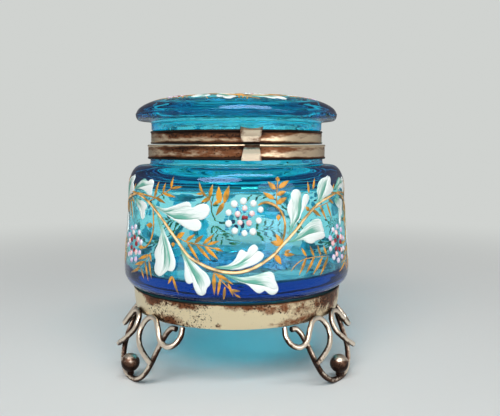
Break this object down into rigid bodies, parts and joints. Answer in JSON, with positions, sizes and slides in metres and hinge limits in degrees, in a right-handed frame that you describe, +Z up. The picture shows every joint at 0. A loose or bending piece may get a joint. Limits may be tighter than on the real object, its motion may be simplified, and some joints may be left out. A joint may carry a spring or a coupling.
{
  "type": "dressing table jar",
  "caption": "Round blue glass dressing table jar with a hinged glass lid in brass mounts, raised enamel flowers, and a brass base ring on feet of scrolled wire.",
  "frame": {"origin": "centre of the glass bowl's flat underside, on the jar's upright axis; the table that the feet stand on is 31.7 mm below it", "axes": "+Z up along the jar's axis, -Y to the front where the clasp tabs are, +Y to the hinge, +X to the right seen from the front"},
  "size_m": [0.0935, 0.0949, 0.1057],
  "materials": {
    "blue_glass": "clear polished turquoise glass",
    "dark_brass": "tarnished brown brass",
    "pale_brass": "pale worn brass with brown tarnish",
    "foot_wire": "pale worn brass wire, dark in the crevices",
    "plaster": "dry matt plaster",
    "white_enamel": "raised white enamel shaded with green, and pink and white beads",
    "ochre_enamel": "raised ochre gold enamel with pale highlights"
  },
  "bodies": {
    "jar": {"glass_bowl": "blue_glass", "neck_collar": "dark_brass", "neck_hinge_leaf": "dark_brass", "hinge_pin": "dark_brass", "catch_tab": "pale_brass", "base_ring": "pale_brass", "base_plaster_bed": "plaster", "neck_plaster_bed": "plaster", "left_foot_loop": "foot_wire", "left_foot_scroll_a": "foot_wire", "left_foot_scroll_b": "foot_wire", "left_foot_ball": "foot_wire", "right_foot_loop": "foot_wire", "right_foot_scroll_a": "foot_wire", "right_foot_scroll_b": "foot_wire", "right_foot_ball": "foot_wire", "rear_foot_loop": "foot_wire", "rear_foot_scroll_a": "foot_wire", "rear_foot_scroll_b": "foot_wire", "rear_foot_ball": "foot_wire"},
    "lid": {"glass_lid": "blue_glass", "lid_collar": "dark_brass", "lid_plaster_bed": "plaster", "lid_hinge_leaf": "dark_brass", "thumb_tab": "pale_brass"}
  },
  "joints": [
    {"name": "lid_hinge", "type": "hinge", "parent": "jar", "child": "lid", "pos_m": [0, 0.0374, 0.05435], "axis": [-1, 0, 0], "range_deg": [0, 100]}
  ]
}
